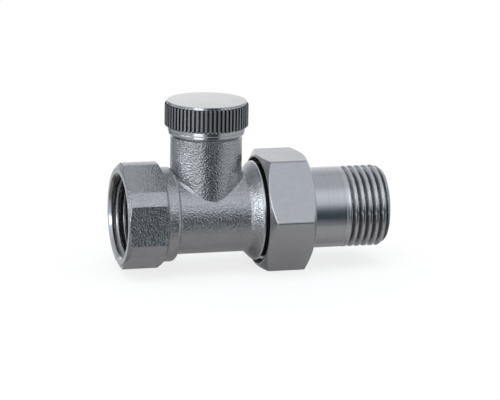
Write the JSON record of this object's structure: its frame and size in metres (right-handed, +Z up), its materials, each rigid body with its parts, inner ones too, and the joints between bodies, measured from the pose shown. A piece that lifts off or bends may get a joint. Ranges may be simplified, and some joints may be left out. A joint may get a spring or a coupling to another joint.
{
  "type": "straight radiator valve",
  "caption": "Straight lockshield radiator valve: hexagon pipe socket, neck with knurled screw cap over a regulating spindle, union nut and threaded tailpiece.",
  "frame": {"origin": "on the pipe's axis where the pipe socket's full thread begins, 0.55 mm inside the mouth", "axes": "+X along the pipe towards the radiator, +Z up the spindle to the cap, +Y to the back as the picture sees it"},
  "size_m": [0.0695, 0.0332, 0.0438],
  "materials": {
    "blasted_nickel": "nickel plated over a shot-blasted forging, matte",
    "satin_nickel": "nickel plated, satin",
    "turned_nickel": "nickel plated over turned brass, bright",
    "polished_nickel": "nickel plated, polished",
    "bare_brass": "bare turned brass",
    "seal_rubber": "black EPDM rubber"
  },
  "bodies": {
    "body": {"valve_body": "blasted_nickel", "headwork": "bare_brass", "headwork_ring": "seal_rubber"},
    "spindle_rings": {"spindle_ring_lower": "seal_rubber", "spindle_ring_upper": "seal_rubber"},
    "spindle": {"spindle": "bare_brass", "seat_washer": "seal_rubber", "seat_screw": "bare_brass"},
    "cap_seal": {"cap_seal": "seal_rubber"},
    "cap": {"protective_cap": "polished_nickel"},
    "tail_ring": {"tail_ring": "seal_rubber"},
    "tail": {"tailpiece": "turned_nickel"},
    "nut": {"union_nut": "satin_nickel"}
  },
  "joints": [
    {"name": "spindle_rise", "type": "slide", "parent": "body", "child": "spindle_rings", "axis": [0, 0, 1], "range_m": [0, 0.003]},
    {"name": "spindle_turn", "type": "hinge", "parent": "spindle_rings", "child": "spindle", "pos_m": [0.02225, 0, 0.01], "axis": [0, 0, 1], "range_deg": [0, 1080]},
    {"name": "cap_rise", "type": "slide", "parent": "body", "child": "cap_seal", "axis": [0, 0, 1], "range_m": [0, 0.0045]},
    {"name": "cap_turn", "type": "hinge", "parent": "cap_seal", "child": "cap", "pos_m": [0.02225, 0, 0.025], "axis": [0, 0, 1], "range_deg": [0, 1620]},
    {"name": "union_draw", "type": "slide", "parent": "body", "child": "tail_ring", "axis": [1, 0, 0], "range_m": [0, 0.00635]},
    {"name": "tail_swivel", "type": "hinge", "parent": "tail_ring", "child": "tail", "pos_m": [0.04265, 0, 0], "axis": [1, 0, 0], "continuous": true},
    {"name": "union_turn", "type": "hinge", "parent": "tail_ring", "child": "nut", "pos_m": [0.04265, 0, 0], "axis": [1, 0, 0], "range_deg": [0, 1260]}
  ],
  "couplings": [
    {"joint": "spindle_turn", "follows": "spindle_rise", "rad_per_m": 6283.2},
    {"joint": "cap_turn", "follows": "cap_rise", "rad_per_m": 6283.2},
    {"joint": "union_turn", "follows": "union_draw", "rad_per_m": 3463.7}
  ]
}
